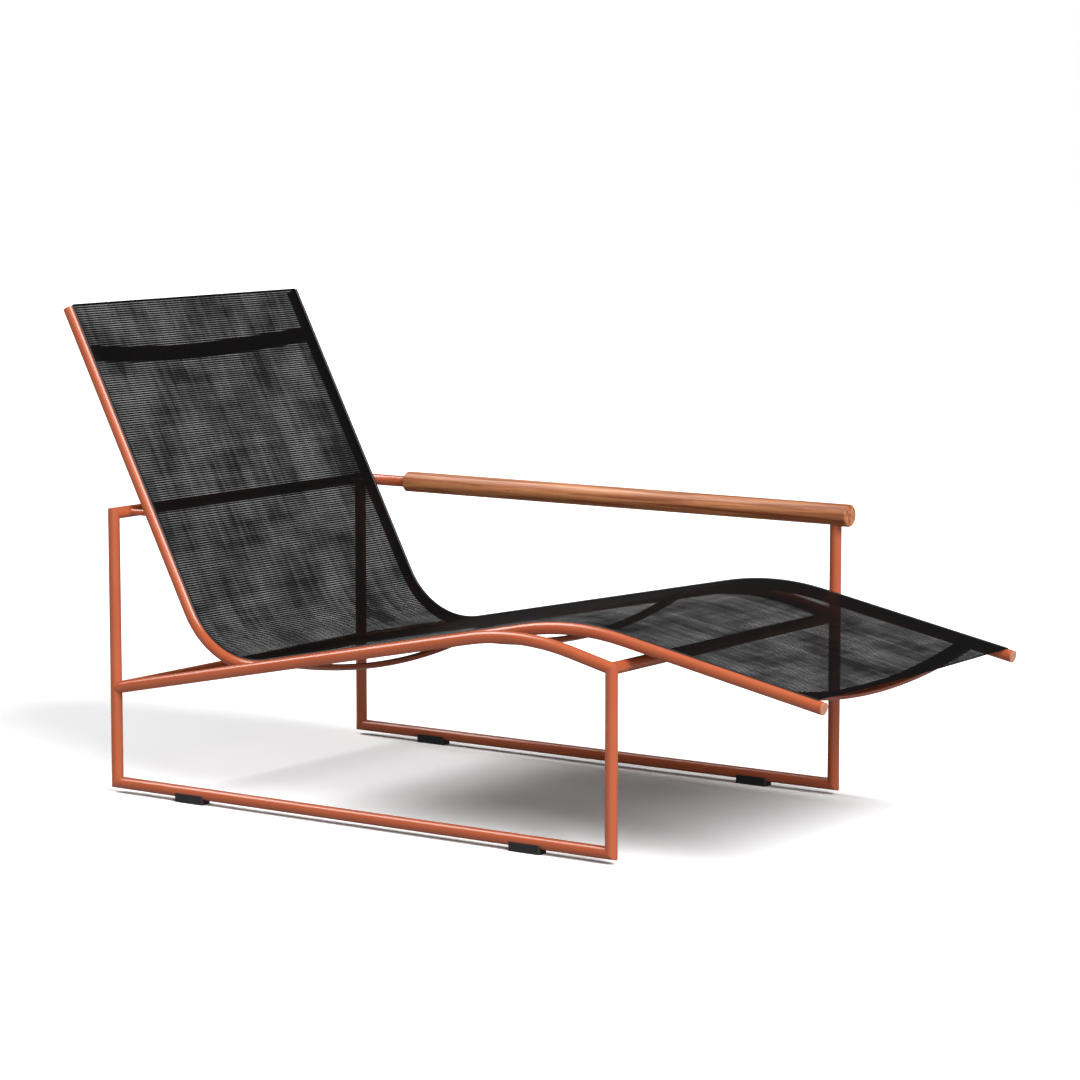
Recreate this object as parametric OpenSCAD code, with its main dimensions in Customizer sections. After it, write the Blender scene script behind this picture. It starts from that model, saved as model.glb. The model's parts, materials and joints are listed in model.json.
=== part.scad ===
// Reclining sun lounger. A bent-tube seat frame carries a woven sling and is bolted to a
// base of two looped side frames. The left side frame rises to carry a round timber armrest.
// X runs from the head to the foot, Y to the sitter's left, Z up, in millimetres.

/* [Frame tube] */
// Outside diameter of the round tube
tube_d = 22; // [18:0.5:27]
// Wall of the round tube
tube_wall = 2; // [1.5:0.1:2.5]

/* [Base] */
// Rear post to front post, axis to axis
base_len = 1110; // [920:5:1340]
// Side frame to side frame, axis to axis
base_w = 746; // [600:2:900]
// Arm tube above the runners, axis to axis
arm_h = 506; // [440:2:530]
// Open gap between the front crossbar and the seat rails above it
front_gap = 19.9; // [16:0.1:30]
// Fall of each support rail towards its front post, in degrees
fork_fall = 13.8; // [10:0.2:18]
// Bend radius at the knee of the support rail
fork_r = 495; // [300:5:600]

/* [Seat frame] */
// Seat rail inwards from its side frame, axis to axis
rail_inset = 40; // [33:1:60]
// Corner of the back and seat lines, forward of the rear post
hip_x = 205; // [190:1:230]
// The same corner above the runners
hip_z = 220; // [200:1:225]
// Hip corner to knee corner
seat_len = 815; // [680:5:980]
// Hip corner to the head end of the rails
back_len = 743; // [720:1:890]
// Knee corner to the foot end of the rails
leg_len = 505; // [440:1:600]
// Rise of the seat towards the knee, in degrees
seat_tilt = 11.4; // [10:0.2:13]
// Back above the horizontal, in degrees
back_tilt = 62.4; // [60:0.2:66]
// Fall of the leg rest towards the foot, in degrees
leg_fall = 11.4; // [8:0.2:14]
// Bend radius at the hip
hip_r = 165; // [120:1:200]
// Bend radius at the knee
knee_r = 520; // [300:5:620]

/* [Bows] */
// Width of the flat-oval bow tube
bow_w = 30; // [25:1:36]
// Thickness of the flat-oval bow tube
bow_t = 12; // [10:0.5:15]
// Wall of the bow tube
bow_wall = 1.5; // [1.2:0.1:2]
// Depth of each bow behind the rails at mid-width
bow_sag = 39; // [28:1:46]
// Head bow above the hip corner, along the back
head_bow_at = 652; // [560:1:690]
// Seat bow forward of the hip corner
seat_bow_at = 168; // [150:1:190]
// Thigh bow forward of the hip corner
thigh_bow_at = 600; // [580:1:620]
// Foot bow forward of the knee corner
foot_bow_at = 415; // [350:1:420]

/* [Sling] */
// Thickness of the woven sling
sling_t = 1.2; // [0.8:0.1:1.8]
// Slot along the top of each seat rail
slot_w = 2.4; // [2:0.1:3.5]
// Diameter of the edge cord held inside each rail
cord_d = 5; // [4:0.1:5.5]
// Sling past the head end of the rails
sling_over = 4; // [0:0.5:6]
// Sling short of the foot end of the rails
sling_short = 12; // [12:1:30]

/* [Armrest] */
// Diameter of the timber armrest
timber_d = 42; // [38:1:52]
// Armrest's rear end, forward of the rear post
timber_start = 121; // [80:1:200]
// Armrest past the front post's axis
timber_over = 31.5; // [24:0.5:60]
// Rounding of the armrest's end edges
timber_edge = 4; // [2:0.5:6]

/* [Glides] */
// Length of each floor glide
glide_len = 66; // [50:1:90]
// Width of each floor glide beyond the tube
glide_extra = 2; // [1:0.5:6]
// Glide under the runner tube
glide_under = 8; // [6:0.5:14]
// Rear glide's middle, forward of the rear post
glide_rear = 182; // [100:1:300]
// Front glide's middle, back from the front post
glide_front = 174; // [100:1:300]

/* [Fixings] */
// Diameter of the seat bolts
bolt_d = 6; // [5:0.5:6]
// Diameter of the spacers between the seat frame and the base
spacer_d = 12; // [11:0.5:14]
// Rear side spacer forward of the hip corner
rear_spacer_at = 225; // [205:1:300]
// Front side spacer back from the start of the support rail's bend
front_spacer_back = 80; // [40:1:120]
// Diameter of the armrest screws
wood_screw_d = 4.5; // [4:0.5:5]
// Armrest screws' places, as shares of the armrest's length
arm_screw_at = [0.12, 0.5, 0.88];
// Diameter of the glide screws
glide_screw_d = 4; // [3.5:0.5:4.5]

/* [Hidden] */
$fn = 64;
hole_play = 0.4;      // across a bolt's clearance hole
wood_play = 0.2;      // between the timber and the tube, all round
plug_play = 0.1;      // between a plug's shank and the tube's bore
cord_play = 0.15;     // between the edge cord, the tube wall and the sling
bend_skin = 0.02;     // extra on every face of a bend
bend_grip = 0.5;      // of each straight inside a bend
cope_lap = 0.05;      // of the two tubes of a corner that a third is coped to
cope_slim = 0.05;     // off the radius of a crossbar coped to tubes of its own size
$bent = false;
plug_t = 2;           // head of an end plug
plug_len = 10;        // shank of an end plug
head_t = 3;           // head of a seat bolt
washer_rim = 1.5;     // saddle washer under a bolt head, at its middle
thread_len = 11;      // bolt thread inside a spacer
wood_bite = 7;        // armrest screw inside the timber
glide_grip = 8.5;     // glide up the side of the runner, from the tube's lowest line
glide_head_t = 2.6;
glide_sink = 0.9;     // screw head above the floor

tube_r = tube_d / 2;
bore_r = tube_r - tube_wall;
seat_w = base_w - 2 * rail_inset;
cut = 4 * tube_d;
washer_d = bolt_d + 6;
bolt_head_d = bolt_d + 4;

function dir(a) = [cos(a), 0, sin(a)];

// Path of the seat rails in the side plane
hip = [hip_x, 0, hip_z];
knee = hip + seat_len * dir(seat_tilt);
head_end = hip + back_len * dir(180 - back_tilt);
foot_end = knee + leg_len * dir(-leg_fall);
hip_turn = back_tilt + seat_tilt;
knee_turn = seat_tilt + leg_fall;
hip_t = hip_r * tan(hip_turn / 2);
knee_t = knee_r * tan(knee_turn / 2);

// Height of the seat rails' axis at x, from the hip corner forwards
knee_c = knee - knee_t * dir(seat_tilt) + knee_r * dir(seat_tilt - 90);
function rail_z(x) =
    x < knee[0] - knee_t * cos(seat_tilt) ? hip_z + (x - hip_x) * tan(seat_tilt)
    : x > knee[0] + knee_t * cos(leg_fall) ? knee[2] - (x - knee[0]) * tan(leg_fall)
    : knee_c[2] + sqrt(pow(knee_r, 2) - pow(x - knee_c[0], 2));

// Path of the support rails, which start on the seat line
front_h = rail_z(base_len) - (tube_d + front_gap) / cos(leg_fall);
rear_h = hip_z - hip_x * tan(seat_tilt);
fork_x = (front_h + base_len * tan(fork_fall) - rear_h) / (tan(seat_tilt) + tan(fork_fall));
fork_turn = seat_tilt + fork_fall;
fork_t = fork_r * tan(fork_turn / 2);
front_top = [base_len, 0, front_h];

// Places of the side spacers, forward of the hip corner
spacer_at = [rear_spacer_at, (fork_x - hip_x) / cos(seat_tilt) - fork_t - front_spacer_back];

// Bows are arcs through both rails' axes
bow_r = (pow(seat_w / 2, 2) + pow(bow_sag, 2)) / (2 * bow_sag);
bow_half = asin(seat_w / 2 / bow_r);
oval_r = (pow(bow_w / 2 + 6, 2) + pow(bow_t / 2, 2)) / bow_t;
head_bow_p = hip + head_bow_at * dir(180 - back_tilt);
seat_bow_p = hip + seat_bow_at * dir(seat_tilt);
thigh_bow_p = hip + thigh_bow_at * dir(seat_tilt);
foot_bow_p = knee + foot_bow_at * dir(-leg_fall);

// Edge cord and sling, measured from the rail's axis along its upward normal
cord_r = cord_d / 2;
cord_n = bore_r - cord_play - cord_r;
sling_n = tube_r + cord_play;
hem_n = cord_n + cord_r + cord_play;

// Armrest
timber_r = timber_d / 2;
timber_len = base_len - timber_start + timber_over;

// Back spacers lie level with the rear top crossbar
back_rail_x = hip_x - (arm_h - hip_z) / tan(back_tilt);

// The origin is at the middle of the outline, on the floor
glide_half = tube_r + glide_extra / 2;
low_x = head_end[0] + plug_t * dir(180 - back_tilt)[0] - tube_r * sin(back_tilt);
high_x = foot_end[0] + plug_t * cos(leg_fall) + tube_r * sin(leg_fall);
mid_x = (low_x + high_x) / 2;
mid_y = (base_w + timber_r - glide_half) / 2;
floor_z = tube_r + glide_under;

paint = "#c4623f";
teak = "#b98457";
nylon = "#26262a";
weave = "#1d1d1f";
steel = "#b9bbbd";

// ---- placing ----

module place() translate([-mid_x, -mid_y, floor_z]) children();

// Right-side pieces are drawn at y = 0, left-side ones are mirrored to y = base_w
module on_side(left) {
    if (left) translate([0, base_w, 0]) mirror([0, 1, 0]) children();
    else children();
}

// Frame at a point of a rail: x along the rail, z along its upward normal
module at_rail(p, a) translate(p) rotate([0, -a, 0]) children();

// ---- profiles and sweeps ----

// A profile drawn inside a bend is fuller by bend_skin all round, see bend()
module tube_profile(solid = false) {
    skin = $bent ? bend_skin : 0;
    difference() {
        circle(r = tube_r + skin);
        if (!solid) circle(r = bore_r - skin);
    }
}

module slotted_profile() {
    gap = slot_w - ($bent ? 2 * bend_skin : 0);
    difference() {
        tube_profile();
        translate([bore_r - 1, -gap / 2]) square([tube_wall + 2, gap]);
    }
}

module cord_profile() circle(r = cord_r + ($bent ? bend_skin : 0));

// The sheet, and a hem that turns down into the slot at each edge
module sling_profile() {
    skin = $bent ? bend_skin : 0;
    outer_w = seat_w + sling_t + 2 * skin;
    inner_w = seat_w - sling_t - 2 * skin;
    difference() {
        translate([hem_n - skin, -outer_w / 2]) square([sling_n + sling_t - hem_n + 2 * skin, outer_w]);
        translate([0, -inner_w / 2]) square([sling_n - skin, inner_w]);
    }
}

// Flat-oval tube section: two broad curved faces and two narrow flat sides
module oval_profile(inset) {
    intersection() {
        translate([oval_r - bow_t / 2, 0]) circle(r = oval_r - inset);
        translate([bow_t / 2 - oval_r, 0]) circle(r = oval_r - inset);
        square([2 * bow_t, bow_w - 2 * inset], center = true);
    }
}

// Path frame: z runs along the tube in direction a, x is the upward normal
module path_from(p, a) translate(p) rotate([0, 90 - a, 0]) rotate([0, 0, 180]) children();

// A straight length, which starts bend_grip early if it comes after a bend and ends that
// much late if a bend follows it
module straight(len, after = false, before = false) {
    low = after ? -bend_grip : 0;
    high = before ? len + bend_grip : len;
    $bent = false;
    translate([0, 0, low]) linear_extrude(high - low) children();
}

// Bend towards +x for a positive radius, cut from a whole ring by the planes of its two ends.
// Its skin swallows the ends of the straights, so that no two surfaces of the tube lie
// in the same place.
module bend(r, turn) {
    b = 4 * (abs(r) + seat_w);
    $bent = true;
    translate([r, 0, 0]) difference() {
        rotate([90, 0, 0]) rotate_extrude() translate([abs(r), 0]) mirror([r > 0 ? 1 : 0, 0]) children();
        translate([-b / 2, -b / 2, -b]) cube(b);
        rotate([0, sign(r) * turn, 0]) translate([-b / 2, -b / 2, 0]) cube(b);
    }
}

module after_bend(r, turn) {
    translate([r, 0, 0]) rotate([0, sign(r) * turn, 0]) translate([-r, 0, 0]) children();
}

// Sweeps a profile along the seat rail's line, from the head to the foot. The profile's x is
// the upward normal, and head and foot are how far it goes past the rail's own ends.
module along_seat(head, foot) {
    back_run = back_len - hip_t + head;
    seat_run = seat_len - hip_t - knee_t;
    path_from(head_end + head * dir(180 - back_tilt), -back_tilt) {
        straight(back_run, before = true) children();
        translate([0, 0, back_run]) {
            bend(hip_r, hip_turn) children();
            after_bend(hip_r, hip_turn) {
                straight(seat_run, after = true, before = true) children();
                translate([0, 0, seat_run]) {
                    bend(-knee_r, knee_turn) children();
                    after_bend(-knee_r, knee_turn)
                        straight(leg_len - knee_t + foot, after = true) children();
                }
            }
        }
    }
}

// ---- base tubes, at y = 0 ----

module bar(len, solid = false) linear_extrude(len) tube_profile(solid);

// Half-space on the side that angle a points to, in the side plane and across it
module beyond(a) rotate([0, -a, 0]) translate([0, -cut / 2, -cut / 2]) cube(cut);
module beyond_across(a) rotate([a, 0, 0]) translate([-cut / 2, 0, -cut / 2]) cube(cut);

module post(x, h, solid = false) translate([x, 0, -tube_r]) bar(h + 2 * tube_r, solid);

// Crossbar coped to the tubes at its ends, a hair thinner than they are
module coped_cross(x, z) {
    translate([x, 0, z]) rotate([-90, 0, 0]) linear_extrude(base_w) difference() {
        circle(r = tube_r - cope_slim);
        circle(r = bore_r);
    }
}

module rear_post(left, solid = false) {
    difference() {
        post(0, arm_h, solid);
        beyond(-45);
        translate([0, 0, arm_h]) {
            if (left) beyond(45);
            else beyond_across(45);
        }
    }
}

module runner() {
    difference() {
        translate([-tube_r, 0, 0]) rotate([0, 90, 0]) bar(base_len + tube_d);
        beyond(135);
        translate([base_len, 0, 0]) beyond(45);
        for (x = glide_xs) {
            translate([x, 0, -tube_d]) cylinder(d = glide_screw_d, h = tube_d);
        }
    }
}

module front_post(left, solid = false) {
    h = left ? arm_h : front_h;
    difference() {
        post(base_len, h, solid);
        translate([base_len, 0, 0]) beyond(225);
        translate([base_len, 0, h]) beyond(left ? 135 : 135 - fork_fall / 2);
    }
}

// Support rail from the rear post's axis, past the front post's axis by `past`
module support_line(past, solid = false) {
    rise = fork_x / cos(seat_tilt) - fork_t;
    fall = (base_len - fork_x) / cos(fork_fall) - fork_t + past;
    path_from([0, 0, rear_h], seat_tilt) {
        straight(rise, before = true) tube_profile(solid);
        translate([0, 0, rise]) {
            bend(-fork_r, fork_turn) tube_profile(solid);
            after_bend(-fork_r, fork_turn) straight(fall, after = true) tube_profile(solid);
        }
    }
}

module support_rail(left, solid = false) {
    difference() {
        support_line(left ? 0 : tube_d, solid);
        rear_post(left, true);
        if (left) front_post(true, true);
        else translate(front_top) beyond(315 - fork_fall / 2);
    }
}

module arm_bar(solid = false) {
    difference() {
        translate([-tube_r, 0, arm_h]) rotate([0, 90, 0]) bar(base_len + tube_d, solid);
        translate([0, 0, arm_h]) beyond(225);
        translate([base_len, 0, arm_h]) beyond(315);
    }
}

glide_xs = [glide_rear, base_len - glide_front];

// ---- base nodes ----

module right_rear_post() color(paint) place() rear_post(false);
module right_runner() color(paint) place() runner();
module right_front_post() color(paint) place() front_post(false);
module right_support_rail() color(paint) place() support_rail(false);
module left_rear_post() color(paint) place() on_side(true) rear_post(true);
module left_runner() color(paint) place() on_side(true) runner();
module left_front_post() color(paint) place() on_side(true) front_post(true);
module left_support_rail() color(paint) place() on_side(true) support_rail(true);

module arm_tube() {
    color(paint) place() on_side(true) difference() {
        arm_bar();
        for (x = arm_screw_xs) {
            translate([x, 0, arm_h - tube_d]) cylinder(d = wood_screw_d + hole_play, h = 2 * tube_d);
        }
    }
}

module rear_top_crossbar() {
    color(paint) place() difference() {
        translate([0, -tube_r, arm_h]) rotate([-90, 0, 0]) bar(base_w + tube_r);
        translate([0, 0, arm_h]) beyond_across(225);
        on_side(true) {
            rear_post(true, true);
            arm_bar(true);
        }
        for (left = [false, true]) {
            on_side(left) translate([-tube_d, rail_inset, arm_h]) rotate([0, 90, 0])
                cylinder(d = bolt_d + hole_play, h = 2 * tube_d);
        }
    }
}

module rear_lower_crossbar() {
    color(paint) place() difference() {
        coped_cross(0, rear_h);
        for (left = [false, true]) {
            on_side(left) {
                rear_post(left, true);
                path_from([0, 0, rear_h], seat_tilt) straight(2 * tube_d) circle(r = tube_r);
            }
        }
    }
}

module front_crossbar() {
    color(paint) place() difference() {
        coped_cross(base_len, front_h);
        for (left = [false, true]) {
            on_side(left) {
                front_post(left, true);
                difference() {
                    support_line(left ? 0 : tube_d, true);
                    if (!left) translate(front_top + cope_lap * dir(315 - fork_fall / 2))
                        beyond(315 - fork_fall / 2);
                }
            }
        }
    }
}

// ---- armrest ----

arm_screw_xs = [for (s = arm_screw_at) timber_start + s * timber_len];
groove_r = tube_r + wood_play;

module timber_outline() {
    e = timber_edge;
    square([timber_r - e, timber_len]);
    translate([0, e]) square([timber_r, timber_len - 2 * e]);
    for (z = [e, timber_len - e]) translate([timber_r - e, z]) circle(r = e);
}

module timber_armrest() {
    groove_end = base_len + groove_r;
    color(teak) place() on_side(true) difference() {
        translate([timber_start, 0, arm_h]) rotate([0, 90, 0]) rotate_extrude()
            intersection() {
                timber_outline();
                square([timber_d, timber_len]);
            }
        translate([0, 0, arm_h]) rotate([0, 90, 0]) cylinder(r = groove_r, h = groove_end);
        translate([0, -groove_r, arm_h - timber_d]) cube([groove_end, 2 * groove_r, timber_d]);
        for (x = arm_screw_xs) {
            translate([x, 0, arm_h]) cylinder(d = wood_screw_d, h = tube_r + wood_bite);
        }
    }
}

module armrest_screws() {
    color(steel) place() on_side(true) for (x = arm_screw_xs) {
        low = arm_h - tube_r - washer_rim;
        translate([x, 0, low]) cylinder(d = wood_screw_d, h = tube_d + washer_rim + wood_bite - 1);
        translate([x, 0, low - head_t]) button_head(wood_screw_d + 4);
    }
}

// ---- glides ----

module glide_block() {
    round_r = 3;
    linear_extrude(glide_under + glide_grip) {
        square([glide_len - 2 * round_r, 2 * glide_half], center = true);
        square([glide_len, 2 * glide_half - 2 * round_r], center = true);
        for (sx = [-1, 1], sy = [-1, 1]) {
            translate([sx * (glide_len / 2 - round_r), sy * (glide_half - round_r)]) circle(r = round_r);
        }
    }
}

module glide(left, x) {
    color(nylon) place() on_side(left) difference() {
        translate([x, 0, -floor_z]) glide_block();
        rotate([0, 90, 0]) cylinder(r = tube_r, h = base_len);
        translate([x, 0, -floor_z - 1]) cylinder(d = glide_screw_d, h = floor_z);
        translate([x, 0, -floor_z - 1]) cylinder(d = 9, h = 1 + glide_sink + glide_head_t);
    }
}

module right_rear_glide() glide(false, glide_xs[0]);
module right_front_glide() glide(false, glide_xs[1]);
module left_rear_glide() glide(true, glide_xs[0]);
module left_front_glide() glide(true, glide_xs[1]);

module glide_screws() {
    shank = floor_z - bore_r + 3 - glide_sink;
    color(steel) place() for (left = [false, true], x = glide_xs) {
        on_side(left) translate([x, 0, -floor_z + glide_sink]) {
            cylinder(d = glide_screw_d, h = shank);
            cylinder(d = 8.4, h = glide_head_t);
        }
    }
}

// ---- seat frame ----

module seat_rail(left) {
    color(paint) place() on_side(left) translate([0, rail_inset, 0]) difference() {
        along_seat(0, 0) slotted_profile();
        for (s = spacer_at) {
            at_rail(hip + s * dir(seat_tilt), seat_tilt) translate([0, tube_d, 0]) rotate([90, 0, 0])
                cylinder(d = bolt_d + hole_play, h = 2 * tube_d);
        }
    }
}

module right_seat_rail() seat_rail(false);
module left_seat_rail() seat_rail(true);

// A bow dips behind the rails in the plane square to them, and is coped onto both
module bow(p, a) {
    color(paint) place() translate([0, rail_inset, 0]) at_rail(p, a) difference() {
        translate([0, seat_w / 2, bow_r - bow_sag]) rotate([90, 0, 90]) rotate([0, 0, -90 - bow_half])
            rotate_extrude(angle = 2 * bow_half) translate([bow_r, 0]) difference() {
                oval_profile(0);
                oval_profile(bow_wall);
            }
        for (y = [0, seat_w]) {
            translate([-cut, y, 0]) rotate([0, 90, 0]) cylinder(r = tube_r, h = 2 * cut);
        }
    }
}

module head_bow() bow(head_bow_p, -back_tilt);
module seat_bow() bow(seat_bow_p, seat_tilt);
module thigh_bow() bow(thigh_bow_p, seat_tilt);
module foot_bow() bow(foot_bow_p, -leg_fall);

// Plug whose head lies past the tube's end, with local z out of the tube
module plug() {
    cylinder(r = tube_r, h = plug_t);
    translate([0, 0, -plug_len]) cylinder(r = bore_r - plug_play, h = plug_len);
}

module end_plug(left, p, a) {
    color(paint) place() on_side(left) translate([0, rail_inset, 0])
        translate(p) rotate([0, 90 - a, 0]) plug();
}

module right_head_plug() end_plug(false, head_end, 180 - back_tilt);
module right_foot_plug() end_plug(false, foot_end, -leg_fall);
module left_head_plug() end_plug(true, head_end, 180 - back_tilt);
module left_foot_plug() end_plug(true, foot_end, -leg_fall);

// ---- spacers, bolts and washers ----

// Button head with a hexagon socket, its underside at z = head_t
module button_head(d) {
    difference() {
        intersection() {
            cylinder(d = d, h = head_t);
            translate([0, 0, d * 0.9]) sphere(r = d * 0.9 + 0.01);
        }
        translate([0, 0, -1]) cylinder(d = d * 0.42, h = 1 + head_t * 0.6, $fn = 6);
    }
}

module drilled(d, h, hole) {
    difference() {
        cylinder(d = d, h = h);
        translate([0, 0, -1]) cylinder(d = hole, h = h + 2);
    }
}

// Local frames whose z points along a bolt from its head, with the tube's axis at z = 0
module side_bolt_frame(left, s) {
    on_side(left) translate([0, rail_inset, 0]) at_rail(hip + s * dir(seat_tilt), seat_tilt)
        rotate([90, 0, 0]) children();
}

module back_bolt_frame(left) {
    on_side(left) translate([0, rail_inset, arm_h]) rotate([0, 90, 0]) children();
}

module side_spacers() {
    color(paint) place() for (left = [false, true], s = spacer_at) {
        side_bolt_frame(left, s) difference() {
            drilled(spacer_d, rail_inset, bolt_d);
            for (z = [0, rail_inset]) translate([-cut / 2, 0, z]) rotate([0, 90, 0])
                cylinder(r = tube_r, h = cut);
        }
    }
}

module back_spacers() {
    color(paint) place() for (left = [false, true]) difference() {
        back_bolt_frame(left) drilled(spacer_d, back_rail_x, bolt_d);
        translate([0, 0, arm_h]) rotate([-90, 0, 0]) bar(base_w, true);
        on_side(left) translate([0, rail_inset, 0]) path_from(head_end, -back_tilt)
            straight(back_len - hip_t) circle(r = tube_r);
    }
}

module bolt() {
    low = -tube_r - washer_rim;
    translate([0, 0, low]) cylinder(d = bolt_d, h = tube_d + washer_rim + thread_len);
    translate([0, 0, low - head_t]) button_head(bolt_head_d);
}

module seat_bolts() {
    color(steel) place() for (left = [false, true]) {
        for (s = spacer_at) side_bolt_frame(left, s) bolt();
        back_bolt_frame(left) bolt();
    }
}

// Washer whose inner face is hollowed to sit on the tube
module saddle_washer(hole) {
    difference() {
        translate([0, 0, -tube_r - washer_rim]) drilled(washer_d, tube_r, hole);
        translate([-cut / 2, 0, 0]) rotate([0, 90, 0]) cylinder(r = tube_r, h = cut);
    }
}

module saddle_washers() {
    hole = bolt_d + hole_play;
    color(nylon) place() {
        for (left = [false, true]) {
            for (s = spacer_at) side_bolt_frame(left, s) saddle_washer(hole);
            back_bolt_frame(left) rotate([0, 0, 90]) saddle_washer(hole);
        }
        on_side(true) for (x = arm_screw_xs) translate([x, 0, arm_h]) {
            saddle_washer(wood_screw_d + hole_play);
        }
    }
}

// ---- sling ----

module edge_cord(left) {
    color(weave) place() on_side(left) translate([0, rail_inset, 0])
        along_seat(-plug_len - 1, -plug_len - 1) translate([cord_n, 0]) cord_profile();
}

module right_edge_cord() edge_cord(false);
module left_edge_cord() edge_cord(true);

module sling() {
    color(weave) place() translate([0, rail_inset + seat_w / 2, 0]) difference() {
        along_seat(sling_over, -sling_short) sling_profile();
        // No hem past the head end of the slots, where the plugs are
        path_from(head_end + sling_over * dir(180 - back_tilt), -back_tilt)
            translate([0, -seat_w, -1]) cube([sling_n, 2 * seat_w, sling_over + 1.5]);
    }
}

right_rear_post();
right_runner();
right_front_post();
right_support_rail();
left_rear_post();
left_runner();
left_front_post();
left_support_rail();
arm_tube();
rear_top_crossbar();
rear_lower_crossbar();
front_crossbar();
timber_armrest();
armrest_screws();
right_rear_glide();
right_front_glide();
left_rear_glide();
left_front_glide();
glide_screws();
right_seat_rail();
left_seat_rail();
head_bow();
seat_bow();
thigh_bow();
foot_bow();
right_head_plug();
right_foot_plug();
left_head_plug();
left_foot_plug();
side_spacers();
back_spacers();
seat_bolts();
saddle_washers();
right_edge_cord();
left_edge_cord();
sling();
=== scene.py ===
import json
import math
import bmesh
import bpy
from mathutils import Matrix, Vector, noise


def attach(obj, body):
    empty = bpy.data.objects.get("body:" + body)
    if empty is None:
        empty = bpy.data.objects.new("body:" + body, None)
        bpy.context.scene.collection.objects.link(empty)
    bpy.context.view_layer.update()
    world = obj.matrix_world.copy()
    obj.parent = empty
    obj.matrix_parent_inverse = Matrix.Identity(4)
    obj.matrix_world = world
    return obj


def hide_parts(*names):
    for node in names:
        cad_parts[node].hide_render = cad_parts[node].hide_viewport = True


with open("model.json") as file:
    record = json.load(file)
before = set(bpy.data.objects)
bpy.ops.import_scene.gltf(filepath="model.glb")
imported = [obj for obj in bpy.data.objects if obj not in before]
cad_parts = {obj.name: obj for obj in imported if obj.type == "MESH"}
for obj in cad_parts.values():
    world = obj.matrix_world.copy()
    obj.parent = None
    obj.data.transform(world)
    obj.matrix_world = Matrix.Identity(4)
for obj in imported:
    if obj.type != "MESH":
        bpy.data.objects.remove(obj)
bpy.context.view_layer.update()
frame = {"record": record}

bpy.ops.object.select_all(action="DESELECT")
scene = bpy.context.scene


def linearColour(hexCode):
    parts = [int(hexCode[i:i + 2], 16) / 255 for i in (1, 3, 5)]
    return [c / 12.92 if c <= 0.04045 else ((c + 0.055) / 1.055) ** 2.4 for c in parts] + [1.0]


# camera at standing eye height in front of the foot end, on the open side
cameraSetup = {"place": (3.7299, -5.3235, 1.2983), "turn": 34.847, "lookDown": 7.133, "lens": 119.04}

bpy.ops.object.camera_add(location=cameraSetup["place"])
camera = bpy.context.object
camera.name = "camera"
camera.rotation_euler = (math.radians(90 - cameraSetup["lookDown"]), 0, math.radians(cameraSetup["turn"]))
camera.data.lens = cameraSetup["lens"]
camera.data.sensor_width = 36
camera.data.clip_end = 100
scene.camera = camera
print("camera placed")


# studio: white floor and surround under two large side softboxes and a low frontal one; the floor burns out
studio = {
    "floorSize": 60,
    "surround": "#ffffff",
    "surroundLight": 0.06,
    "paperSeen": 1.22,        # the paper is over-exposed where it is seen, and held back where it lights the frame
    "paperBounce": 0.3,
    "sideBoxes": {"right_softbox": {"turn": 74, "tilt": 50, "across": 34, "strength": 3.6},
                  "left_softbox": {"turn": -84, "tilt": 42, "across": 30, "strength": 2.3}},
    "front_softbox": {"turn": 35, "tilt": 76, "across": 40, "strength": 1.1},
}


# adds a node with its settings; a link comes from a socket, or from a node's first output
def addNode(tree, kind, settings=None, links=None):
    node = tree.nodes.new(kind)
    for name, value in (settings or {}).items():
        if isinstance(name, int) or name in node.inputs:
            node.inputs[name].default_value = value
        else:
            setattr(node, name, value)
    for name, source in (links or {}).items():
        tree.links.new(source.outputs[0] if hasattr(source, "outputs") else source, node.inputs[name])
    return node


def newMaterial(name):
    material = bpy.data.materials.new(name)
    material.use_nodes = True
    tree = material.node_tree
    tree.nodes.clear()
    return material, tree


def makeFloor():
    bpy.ops.mesh.primitive_plane_add(size=studio["floorSize"], location=(0, 0, 0))
    floor = bpy.context.object
    floor.name = "studio_floor"
    material, tree = newMaterial("matt white paper")
    seen = addNode(tree, "ShaderNodeBsdfDiffuse", {"Color": [studio["paperSeen"]] * 3 + [1.0]})
    bounced = addNode(tree, "ShaderNodeBsdfDiffuse", {"Color": [studio["paperBounce"]] * 3 + [1.0]})
    path = addNode(tree, "ShaderNodeLightPath")
    mix = addNode(tree, "ShaderNodeMixShader", links={0: path.outputs["Is Camera Ray"], 1: bounced.outputs[0],
                                                      2: seen.outputs[0]})
    addNode(tree, "ShaderNodeOutputMaterial", links={"Surface": mix.outputs[0]})
    floor.data.materials.append(material)


def makeSurround():
    world = bpy.data.worlds.new("surround")
    scene.world = world
    world.use_nodes = True
    tree = world.node_tree
    tree.nodes.clear()
    seen = addNode(tree, "ShaderNodeBackground", {"Color": linearColour(studio["surround"]), "Strength": 1.0})
    lit = addNode(tree, "ShaderNodeBackground", {"Color": linearColour(studio["surround"]),
                                                 "Strength": studio["surroundLight"]})
    path = addNode(tree, "ShaderNodeLightPath")
    mix = addNode(tree, "ShaderNodeMixShader", links={0: path.outputs["Is Camera Ray"], 1: lit.outputs[0],
                                                      2: seen.outputs[0]})
    addNode(tree, "ShaderNodeOutputWorld", links={"Surface": mix.outputs[0]})


def makeLamps():
    boxes = dict(studio["sideBoxes"], front_softbox=studio["front_softbox"])
    for name, box in boxes.items():
        bpy.ops.object.light_add(type="SUN", location=(0, 0, 4))
        lamp = bpy.context.object
        lamp.name = name
        lamp.data.energy = box["strength"]
        lamp.data.angle = math.radians(box["across"])
        lamp.rotation_euler = (math.radians(box["tilt"]), 0, math.radians(box["turn"]))


makeFloor()
makeSurround()
makeLamps()
scene.view_settings.view_transform = "Standard"
print("studio lit")


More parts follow.
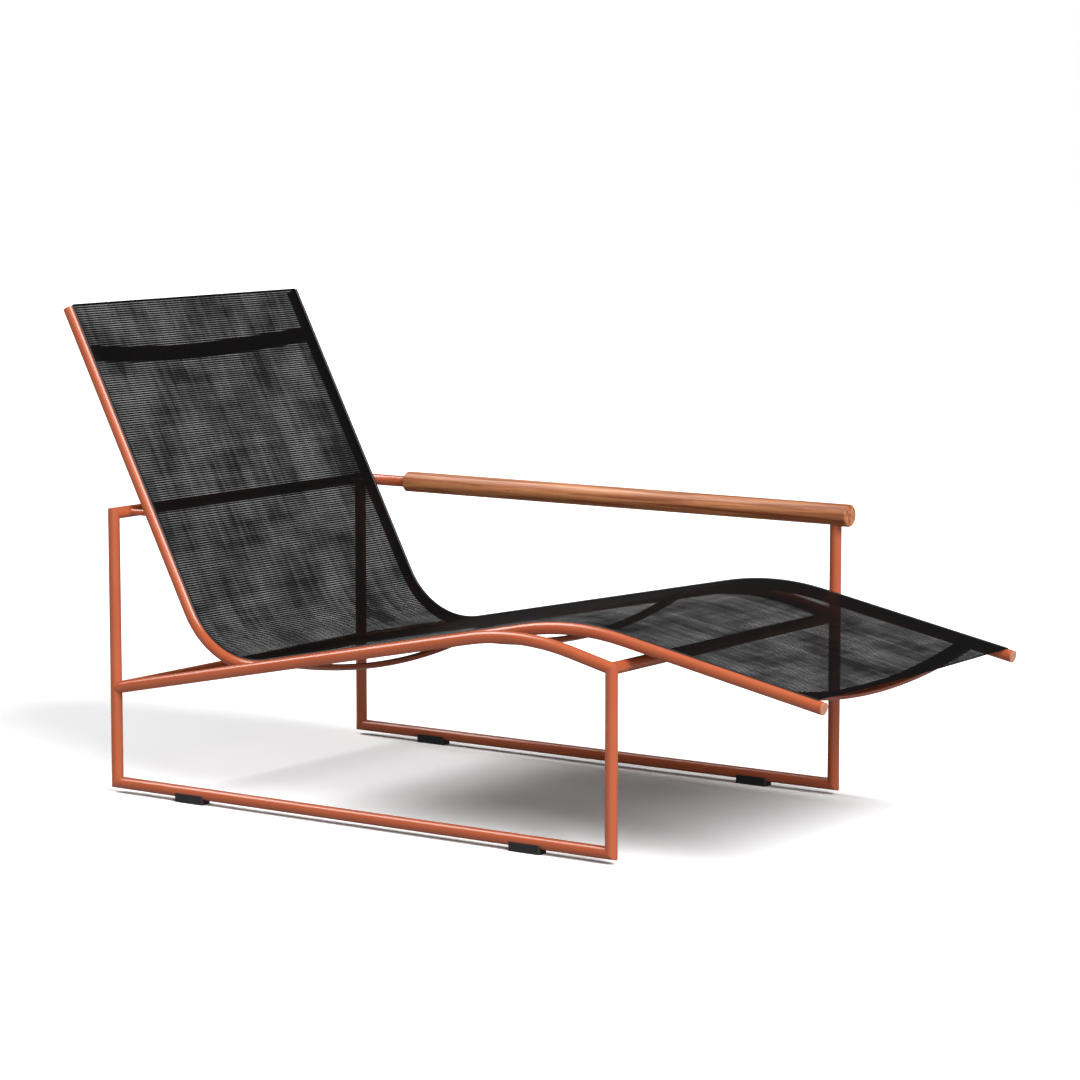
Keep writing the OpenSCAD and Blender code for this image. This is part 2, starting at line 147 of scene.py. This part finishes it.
# satin powder coat, sprayed on tube and baked: an even clay colour with a soft shine, whose gloss clouds
# a little from place to place and whose film has a faint orange peel
powderCoat = {"deep": "#ae5434", "warm": "#bb623f", "roughness": (0.21, 0.3), "cloud": 0.09, "peel": 0.0016}


def makePowderCoat():
    material, tree = newMaterial("terracotta powder coat")
    place = addNode(tree, "ShaderNodeTexCoord").outputs["Object"]
    cloud = addNode(tree, "ShaderNodeTexNoise", {"Scale": 1 / powderCoat["cloud"], "Detail": 3.0}, {"Vector": place})
    peel = addNode(tree, "ShaderNodeTexNoise", {"Scale": 1 / powderCoat["peel"], "Detail": 1.0}, {"Vector": place})
    colour = addNode(tree, "ShaderNodeMix", {"data_type": "RGBA", 6: linearColour(powderCoat["deep"]),
                                             7: linearColour(powderCoat["warm"])}, {0: cloud})
    gloss = addNode(tree, "ShaderNodeMapRange", {"To Min": powderCoat["roughness"][0],
                                                 "To Max": powderCoat["roughness"][1]}, {0: cloud})
    film = addNode(tree, "ShaderNodeBump", {"Distance": 0.00004}, {"Height": peel})
    shader = addNode(tree, "ShaderNodeBsdfPrincipled", {"IOR": 1.5},
                     {"Base Color": colour.outputs[2], "Roughness": gloss, "Normal": film})
    addNode(tree, "ShaderNodeOutputMaterial", links={"Surface": shader})
    return material


# oiled teak, turned to a round: long straight grain with darker late wood and fine open pores,
# the dark grain a little duller than the pale
teakLook = {"pale": "#d48f5e", "dark": "#7f3c1d", "pore": "#55290f", "grain": (0.28, 0.009, 0.009),
            "band": (0.5, 0.028, 0.028), "pores": (0.018, 0.0009, 0.0009), "roughness": (0.54, 0.4)}


def makeTeak():
    material, tree = newMaterial("oiled teak")
    place = addNode(tree, "ShaderNodeTexCoord").outputs["Object"]
    along = {name: addNode(tree, "ShaderNodeMapping", {"Scale": [1 / size for size in teakLook[name]]},
                           {"Vector": place}) for name in ("grain", "band", "pores")}
    lines = addNode(tree, "ShaderNodeTexNoise", {"Scale": 1.0, "Detail": 5.0, "Roughness": 0.6, "Distortion": 0.6},
                    {"Vector": along["grain"]})
    band = addNode(tree, "ShaderNodeTexNoise", {"Scale": 1.0, "Detail": 2.0}, {"Vector": along["band"]})
    pores = addNode(tree, "ShaderNodeTexNoise", {"Scale": 1.0, "Detail": 2.0}, {"Vector": along["pores"]})
    grain = addNode(tree, "ShaderNodeMapRange", {"From Min": 0.38, "From Max": 0.62}, {0: lines})
    both = addNode(tree, "ShaderNodeMix", {"data_type": "FLOAT", 0: 0.3}, {2: grain, 3: band})
    wood = addNode(tree, "ShaderNodeMix", {"data_type": "RGBA", 6: linearColour(teakLook["dark"]),
                                           7: linearColour(teakLook["pale"])}, {0: both})
    deep = addNode(tree, "ShaderNodeMapRange", {"From Min": 0.62, "From Max": 0.75, "To Max": 0.55}, {0: pores})
    colour = addNode(tree, "ShaderNodeMix", {"data_type": "RGBA", 7: linearColour(teakLook["pore"])},
                     {0: deep, 6: wood.outputs[2]})
    rough = addNode(tree, "ShaderNodeMapRange", {"To Min": teakLook["roughness"][0],
                                                 "To Max": teakLook["roughness"][1]}, {0: grain})
    raised = addNode(tree, "ShaderNodeBump", {"Strength": 0.6, "Distance": 0.00025}, {"Height": both})
    shader = addNode(tree, "ShaderNodeBsdfPrincipled", {"IOR": 1.52},
                     {"Base Color": colour.outputs[2], "Roughness": rough, "Normal": raised})
    addNode(tree, "ShaderNodeOutputMaterial", links={"Surface": shader})
    return material


# injection-moulded nylon: near black with a fine eroded grain, greyed by dust where it stands on the ground
nylonLook = {"colour": "#1b1c1e", "dust": "#3a3a3a", "dustHeight": 0.004, "grain": 0.0011, "patch": 0.017,
             "roughness": (0.46, 0.6)}


def makeNylon():
    material, tree = newMaterial("moulded black nylon")
    place = addNode(tree, "ShaderNodeTexCoord").outputs["Object"]
    grain = addNode(tree, "ShaderNodeTexNoise", {"Scale": 1 / nylonLook["grain"], "Detail": 2.0}, {"Vector": place})
    patch = addNode(tree, "ShaderNodeTexNoise", {"Scale": 1 / nylonLook["patch"], "Detail": 4.0}, {"Vector": place})
    height = addNode(tree, "ShaderNodeSeparateXYZ", links={0: place})
    low = addNode(tree, "ShaderNodeMapRange", {"From Max": nylonLook["dustHeight"], "To Min": 0.5, "To Max": 0.0},
                  {0: height.outputs[2]})
    dusty = addNode(tree, "ShaderNodeMath", {"operation": "MULTIPLY"}, {0: low, 1: patch})
    colour = addNode(tree, "ShaderNodeMix", {"data_type": "RGBA", 6: linearColour(nylonLook["colour"]),
                                             7: linearColour(nylonLook["dust"])}, {0: dusty})
    rough = addNode(tree, "ShaderNodeMapRange", {"To Min": nylonLook["roughness"][0],
                                                 "To Max": nylonLook["roughness"][1]}, {0: patch})
    skin = addNode(tree, "ShaderNodeBump", {"Distance": 0.00006}, {"Height": grain})
    shader = addNode(tree, "ShaderNodeBsdfPrincipled", {"IOR": 1.53},
                     {"Base Color": colour.outputs[2], "Roughness": rough, "Normal": skin})
    addNode(tree, "ShaderNodeOutputMaterial", links={"Surface": shader})
    return material


# polypropylene plugs moulded in the frame's colour: paler than the coat, and rubbed shiny in patches
plugLook = {"colour": "#b97a5b", "rubbed": "#c48b70", "patch": 0.008, "roughness": (0.29, 0.42)}


def makePlugPlastic():
    material, tree = newMaterial("moulded terracotta polypropylene")
    place = addNode(tree, "ShaderNodeTexCoord").outputs["Object"]
    patch = addNode(tree, "ShaderNodeTexNoise", {"Scale": 1 / plugLook["patch"], "Detail": 3.0}, {"Vector": place})
    colour = addNode(tree, "ShaderNodeMix", {"data_type": "RGBA", 6: linearColour(plugLook["colour"]),
                                             7: linearColour(plugLook["rubbed"])}, {0: patch})
    rough = addNode(tree, "ShaderNodeMapRange", {"To Min": plugLook["roughness"][0],
                                                 "To Max": plugLook["roughness"][1]}, {0: patch})
    skin = addNode(tree, "ShaderNodeBump", {"Distance": 0.00003}, {"Height": patch})
    shader = addNode(tree, "ShaderNodeBsdfPrincipled", {"IOR": 1.49},
                     {"Base Color": colour.outputs[2], "Roughness": rough, "Normal": skin})
    addNode(tree, "ShaderNodeOutputMaterial", links={"Surface": shader})
    return material


# stainless steel, turned and tumbled: a soft grey shine broken by fine scuffs
steelLook = {"colour": "#c6c7c8", "roughness": (0.22, 0.42), "scuff": 0.0008}


def makeSteel():
    material, tree = newMaterial("tumbled stainless steel")
    place = addNode(tree, "ShaderNodeTexCoord").outputs["Object"]
    scuff = addNode(tree, "ShaderNodeTexNoise", {"Scale": 1 / steelLook["scuff"], "Detail": 3.0}, {"Vector": place})
    rough = addNode(tree, "ShaderNodeMapRange", {"To Min": steelLook["roughness"][0],
                                                 "To Max": steelLook["roughness"][1]}, {0: scuff})
    skin = addNode(tree, "ShaderNodeBump", {"Distance": 0.00002}, {"Height": scuff})
    shader = addNode(tree, "ShaderNodeBsdfPrincipled",
                     {"Base Color": linearColour(steelLook["colour"]), "Metallic": 1.0},
                     {"Roughness": rough, "Normal": skin})
    addNode(tree, "ShaderNodeOutputMaterial", links={"Surface": shader})
    return material


# extruded PVC welt: dull black with a slight shine that comes and goes along it
weltLook = {"colour": "#0c0c0d", "roughness": (0.45, 0.6), "patch": 0.0035}


def makeWeltVinyl():
    material, tree = newMaterial("extruded black PVC")
    place = addNode(tree, "ShaderNodeTexCoord").outputs["Object"]
    patch = addNode(tree, "ShaderNodeTexNoise", {"Scale": 1 / weltLook["patch"], "Detail": 2.0}, {"Vector": place})
    rough = addNode(tree, "ShaderNodeMapRange", {"To Min": weltLook["roughness"][0],
                                                 "To Max": weltLook["roughness"][1]}, {0: patch})
    skin = addNode(tree, "ShaderNodeBump", {"Distance": 0.00004}, {"Height": patch})
    shader = addNode(tree, "ShaderNodeBsdfPrincipled", {"Base Color": linearColour(weltLook["colour"]), "IOR": 1.53},
                     {"Roughness": rough, "Normal": skin})
    addNode(tree, "ShaderNodeOutputMaterial", links={"Surface": shader})
    return material


# PVC-coated polyester yarn, woven and heat-set: near black ribs across the seat with thin open rows between
# them. The yarn lies slacker in some patches and along some yarns, which lets more light through there.
# A real hole is too fine to show, so the rows open and close softly instead.
meshLook = {
    # highlitCrown is a painted highlight: the colour given to the middle of each rib, a little lighter than the yarn
    "yarn": "#070707", "highlitCrown": "#0d0d0e", "roughness": 0.5,
    "rib": 0.0046,                    # one rib and one open row
    "yarnPitch": 0.0013,
    "open": (0.06, 0.42),             # how open a row's middle is, in tight and in slack places
    "patch": 0.11,
    "warpStreak": (0.014, 0.25),
    "weftStreak": (0.2, 0.02),
    "selvage": 0.003,
}


def makeMesh(width, length):
    material, tree = newMaterial("coated polyester mesh")
    weave = addNode(tree, "ShaderNodeUVMap", {"uv_map": "weave"})
    split = addNode(tree, "ShaderNodeSeparateXYZ", links={0: weave})
    across, along = split.outputs[0], split.outputs[1]
    rows = addNode(tree, "ShaderNodeMath", {"operation": "DIVIDE", 1: meshLook["rib"]}, {0: along})
    inRow = addNode(tree, "ShaderNodeMath", {"operation": "FRACT"}, {0: rows})
    columns = addNode(tree, "ShaderNodeMath", {"operation": "DIVIDE", 1: meshLook["yarnPitch"]}, {0: across})
    inColumn = addNode(tree, "ShaderNodeMath", {"operation": "FRACT"}, {0: columns})

    slackPatch = addNode(tree, "ShaderNodeTexNoise", {"Scale": 1 / meshLook["patch"], "Detail": 2.0}, {"Vector": weave})
    streaks = []
    for name in ("warpStreak", "weftStreak"):
        drawn = addNode(tree, "ShaderNodeMapping", {"Scale": [1 / size for size in meshLook[name]] + [1.0]},
                        {"Vector": weave})
        streaks.append(addNode(tree, "ShaderNodeTexNoise", {"Scale": 1.0, "Detail": 2.0}, {"Vector": drawn}))
    slackYarn = addNode(tree, "ShaderNodeMix", {"data_type": "FLOAT", 0: 0.4}, {2: streaks[0], 3: streaks[1]})
    slack = addNode(tree, "ShaderNodeMix", {"data_type": "FLOAT", 0: 0.5}, {2: slackPatch, 3: slackYarn})
    gap = addNode(tree, "ShaderNodeMapRange", {"From Min": 0.4, "From Max": 0.62, "To Min": meshLook["open"][0],
                                               "To Max": meshLook["open"][1]}, {0: slack})
    turnOfRow = addNode(tree, "ShaderNodeMath", {"operation": "MULTIPLY", 1: 2 * math.pi}, {0: inRow})
    rowWave = addNode(tree, "ShaderNodeMath", {"operation": "SINE"}, {0: turnOfRow})
    rowGap = addNode(tree, "ShaderNodeMath", {"operation": "MAXIMUM", 1: 0.0}, {0: rowWave})
    turnOfYarn = addNode(tree, "ShaderNodeMath", {"operation": "MULTIPLY", 1: 2 * math.pi}, {0: inColumn})
    yarnWave = addNode(tree, "ShaderNodeMath", {"operation": "SINE"}, {0: turnOfYarn})
    yarnGap = addNode(tree, "ShaderNodeMath", {"operation": "MULTIPLY_ADD", 1: 0.5, 2: 0.5}, {0: yarnWave})
    lattice = addNode(tree, "ShaderNodeMath", {"operation": "MULTIPLY"}, {0: rowGap, 1: yarnGap})
    hole = addNode(tree, "ShaderNodeMath", {"operation": "MULTIPLY"}, {0: lattice, 1: gap})

    # closed along the selvages and for one row at each cut end
    outwards = addNode(tree, "ShaderNodeMath", {"operation": "ABSOLUTE"}, {0: across})
    inside = addNode(tree, "ShaderNodeMath", {"operation": "LESS_THAN", 1: width / 2 - meshLook["selvage"]},
                     {0: outwards})
    fromMiddle = addNode(tree, "ShaderNodeMath", {"operation": "SUBTRACT", 1: length / 2}, {0: along})
    endwards = addNode(tree, "ShaderNodeMath", {"operation": "ABSOLUTE"}, {0: fromMiddle})
    between = addNode(tree, "ShaderNodeMath", {"operation": "LESS_THAN", 1: length / 2 - meshLook["rib"]},
                      {0: endwards})
    field = addNode(tree, "ShaderNodeMath", {"operation": "MULTIPLY"}, {0: inside, 1: between})
    opening = addNode(tree, "ShaderNodeMath", {"operation": "MULTIPLY"}, {0: hole, 1: field})
    solid = addNode(tree, "ShaderNodeMath", {"operation": "SUBTRACT", 0: 1.0}, {1: opening})

    # each rib's rise, highest in its middle; it drives the bump, and the colour below also uses it as a painted
    # highlight
    highlitCrown = addNode(tree, "ShaderNodeMath", {"operation": "MULTIPLY_ADD", 1: -0.5, 2: 0.5}, {0: rowWave})
    height = addNode(tree, "ShaderNodeMath", {"operation": "MULTIPLY_ADD", 1: -0.3}, {0: yarnGap, 2: highlitCrown})
    relief = addNode(tree, "ShaderNodeBump", {"Strength": 0.6, "Distance": 0.00015}, {"Height": height})
    # painted highlight and shade: the yarn is coloured lighter towards each rib's crown and darker beside the open rows
    colour = addNode(tree, "ShaderNodeMix", {"data_type": "RGBA", 6: linearColour(meshLook["yarn"]),
                                             7: linearColour(meshLook["highlitCrown"])}, {0: highlitCrown})
    # the weave shades its own shine, so little of it is left
    shader = addNode(tree, "ShaderNodeBsdfPrincipled",
                     {"IOR": 1.5, "Roughness": meshLook["roughness"], "Specular IOR Level": 0.06},
                     {"Base Color": colour.outputs[2], "Alpha": solid, "Normal": relief})
    addNode(tree, "ShaderNodeOutputMaterial", links={"Surface": shader})
    return material


slotMaterial = {
    "powder_coated_tube": makePowderCoat(),
    "teak": makeTeak(),
    "black_nylon": makeNylon(),
    "end_plugs": makePlugPlastic(),
    "stainless_fixings": makeSteel(),
    "edge_cord": makeWeltVinyl(),
}
print("materials made")

for part in frame["record"]["subparts"]:
    node = bpy.data.objects.get(part["node"])
    if node and part["material_slot"] in slotMaterial:
        for slot in node.material_slots:
            slot.material = slotMaterial[part["material_slot"]]


# sling's line in the side plane, in metres, from the head to the foot
slingLine = {
    "origin": (-0.67659, 0.0, 0.019),     # rear post's axis on the runner's axis
    "hip": (0.205, 0.220), "backTilt": 62.4, "seatTilt": 11.4, "legFall": 11.4,
    "backLength": 0.743, "seatLength": 0.815, "legLength": 0.505,
    "hipRadius": 0.165, "kneeRadius": 0.520,
    "pastHead": 0.004, "shortOfFoot": 0.012, "seatWidth": 0.666, "middleY": -0.0045,
    "lift": 0.01175,                      # middle of the cloth above the rails' axis
}


# headings of the back, seat and leg, and how far from its corner each bend begins
def slingBends():
    s = slingLine
    back, seat, leg = math.radians(-s["backTilt"]), math.radians(s["seatTilt"]), math.radians(-s["legFall"])
    hipTangent = s["hipRadius"] * math.tan((seat - back) / 2)
    kneeTangent = s["kneeRadius"] * math.tan((seat - leg) / 2)
    return back, seat, leg, hipTangent, kneeTangent


# points along the sling's line with their heading and the distance from the head end
def slingPath(steps):
    s = slingLine
    back, seat, leg, hipTangent, kneeTangent = slingBends()
    runs = [("line", s["backLength"] - hipTangent + s["pastHead"], steps[0]),
            ("arc", seat - back, steps[1], s["hipRadius"]),
            ("line", s["seatLength"] - hipTangent - kneeTangent, steps[2]),
            ("arc", leg - seat, steps[3], -s["kneeRadius"]),
            ("line", s["legLength"] - kneeTangent - s["shortOfFoot"], steps[4])]
    heading = back
    x = s["hip"][0] - (s["backLength"] + s["pastHead"]) * math.cos(back)
    z = s["hip"][1] - (s["backLength"] + s["pastHead"]) * math.sin(back)
    points, travelled = [], 0.0
    for run in runs:
        if run[0] == "line":
            for i in range(run[2]):
                d = run[1] * i / run[2]
                points.append((x + d * math.cos(heading), z + d * math.sin(heading), heading, travelled + d))
            x, z = x + run[1] * math.cos(heading), z + run[1] * math.sin(heading)
            travelled += run[1]
        else:
            radius = run[3]
            cx, cz = x - radius * math.sin(heading), z + radius * math.cos(heading)
            inner = abs(radius) - s["lift"] * (1 if radius > 0 else -1)
            for i in range(run[2]):
                a = heading + run[1] * i / run[2]
                points.append((cx + radius * math.sin(a), cz - radius * math.cos(a), a,
                               travelled + inner * abs(run[1]) * i / run[2]))
            heading += run[1]
            x, z = cx + radius * math.sin(heading), cz - radius * math.cos(heading)
            travelled += inner * abs(run[1])
    points.append((x, z, heading, travelled))
    return points, travelled


# a place on the sling, so far across from its middle and so far above the rails' axis
def atPath(point, across, up):
    s = slingLine
    x, z, heading, _ = point
    return Vector((s["origin"][0] + x - up * math.sin(heading), s["middleY"] + across,
                   s["origin"][2] + z + up * math.cos(heading)))


clothShape = {"columns": 28, "edgeColumn": 0.15, "steps": (26, 26, 26, 12, 20), "sag": 0.0010, "headReach": 0.05,
              "footSag": 0.0022, "footReach": 0.11, "ripple": 0.0003, "ripplesPerMetre": (5, 7), "tuck": 0.0018}


# the cloth is drawn tight between the slots, so it sags only a little across, most at its free foot edge
def makeSling():
    s, c = slingLine, clothShape
    points, length = slingPath(c["steps"])
    half = s["seatWidth"] / 2
    columnWidth = s["seatWidth"] / (c["columns"] - 1 + 2 * c["edgeColumn"])
    between = [-half + columnWidth * (i + c["edgeColumn"]) for i in range(c["columns"])]
    sides = [-half] + between + [half]
    mesh = bpy.data.meshes.new("sling_cloth")
    shape = bmesh.new()
    uvLayer = shape.loops.layers.uv.new("weave")
    rows = []
    for point in points:
        row = []
        for i, across in enumerate(sides):
            bow = 1 - (across / half) ** 2
            nearFoot = max(0.0, 1 - (length - point[3]) / c["footReach"])
            sag = c["sag"] * min(1.0, point[3] / c["headReach"]) + c["footSag"] * nearFoot ** 2
            waves = Vector((across * c["ripplesPerMetre"][0], point[3] * c["ripplesPerMetre"][1], 2.0))
            sag = bow * (sag + c["ripple"] * noise.noise(waves))
            up = s["lift"] - (c["tuck"] if i in (0, len(sides) - 1) else sag)
            row.append(shape.verts.new(atPath(point, across, up)))
        rows.append(row)
    for j in range(len(rows) - 1):
        for i in range(len(sides) - 1):
            face = shape.faces.new((rows[j][i], rows[j + 1][i], rows[j + 1][i + 1], rows[j][i + 1]))
            face.smooth = True
            for loop, (jj, ii) in zip(face.loops, ((j, i), (j + 1, i), (j + 1, i + 1), (j, i + 1))):
                loop[uvLayer].uv = (sides[ii], points[jj][3])
    shape.normal_update()
    if sum(f.normal.z for f in shape.faces) < 0:
        bmesh.ops.reverse_faces(shape, faces=shape.faces)
    shape.to_mesh(mesh)
    shape.free()
    cloth = bpy.data.objects.new("sling_cloth", mesh)
    scene.collection.objects.link(cloth)
    mesh.materials.append(makeMesh(s["seatWidth"], length))
    return cloth, length


weltShape = {"halfWidth": 0.0026, "halfHeight": 0.0013, "lift": 0.0115, "shortOfHead": 0.002, "sides": 10,
             "bendSteps": (26, 12)}


# flat round welt over the slot that the cloth's edge turns down into: a disc drawn along the sling's line
def makeWelt(name):
    s, w = slingLine, weltShape
    back, seat, leg, hipTangent, kneeTangent = slingBends()
    side = s["middleY"] - s["seatWidth"] / 2
    start = s["backLength"] + s["pastHead"] - w["shortOfHead"]
    upFromHip = Vector((math.cos(back), 0, math.sin(back))) * -start
    overRail = Vector((-math.sin(back), 0, math.cos(back))) * w["lift"]
    origin = Vector((s["origin"][0] + s["hip"][0], side, s["origin"][2] + s["hip"][1]))
    bpy.ops.object.select_all(action="DESELECT")
    bpy.ops.mesh.primitive_circle_add(vertices=w["sides"], radius=w["halfWidth"], fill_type="NGON",
                                      location=origin + upFromHip + overRail, rotation=(0, math.pi / 2 - back, 0))
    welt = bpy.context.object
    welt.name = name
    welt.scale = (w["halfHeight"] / w["halfWidth"], 1, 1)
    bpy.ops.object.transform_apply(location=True, rotation=True, scale=True)
    bpy.ops.object.mode_set(mode="EDIT")
    bpy.ops.mesh.select_all(action="SELECT")

    seatStart = origin + Vector((math.cos(seat), 0, math.sin(seat))) * hipTangent
    hipCentre = seatStart + Vector((-math.sin(seat), 0, math.cos(seat))) * s["hipRadius"]
    knee = origin + Vector((math.cos(seat), 0, math.sin(seat))) * s["seatLength"]
    kneeStart = knee - Vector((math.cos(seat), 0, math.sin(seat))) * kneeTangent
    kneeCentre = kneeStart - Vector((-math.sin(seat), 0, math.cos(seat))) * s["kneeRadius"]
    runs = ((back, start - hipTangent, hipCentre, seat - back, w["bendSteps"][0]),
            (seat, s["seatLength"] - hipTangent - kneeTangent, kneeCentre, leg - seat, w["bendSteps"][1]),
            (leg, s["legLength"] - kneeTangent - s["shortOfFoot"], None, 0, 0))
    for heading, run, centre, turn, steps in runs:
        bpy.ops.mesh.extrude_region_move(TRANSFORM_OT_translate={
            "value": (run * math.cos(heading), 0, run * math.sin(heading))})
        if centre:
            bpy.ops.mesh.spin(steps=steps, angle=turn, center=centre, axis=(0, 1, 0))
    bpy.ops.mesh.select_all(action="SELECT")
    bpy.ops.mesh.normals_make_consistent(inside=False)
    bpy.ops.object.mode_set(mode="OBJECT")
    bpy.ops.object.shade_smooth_by_angle(angle=math.radians(50))
    welt.data.materials.append(slotMaterial["edge_cord"])
    welt.select_set(False)
    return welt


cloth, clothLength = makeSling()
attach(cloth, "root")
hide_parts("sling")
welts = [makeWelt("right_welt")]
welts.append(welts[0].copy())
welts[1].name = "left_welt"
welts[1].data = welts[0].data.copy()
welts[1].data.transform(Matrix.Translation((0, slingLine["seatWidth"], 0)))
scene.collection.objects.link(welts[1])
for welt in welts:
    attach(welt, "root")
print("sling stretched, cloth length", round(clothLength, 4))
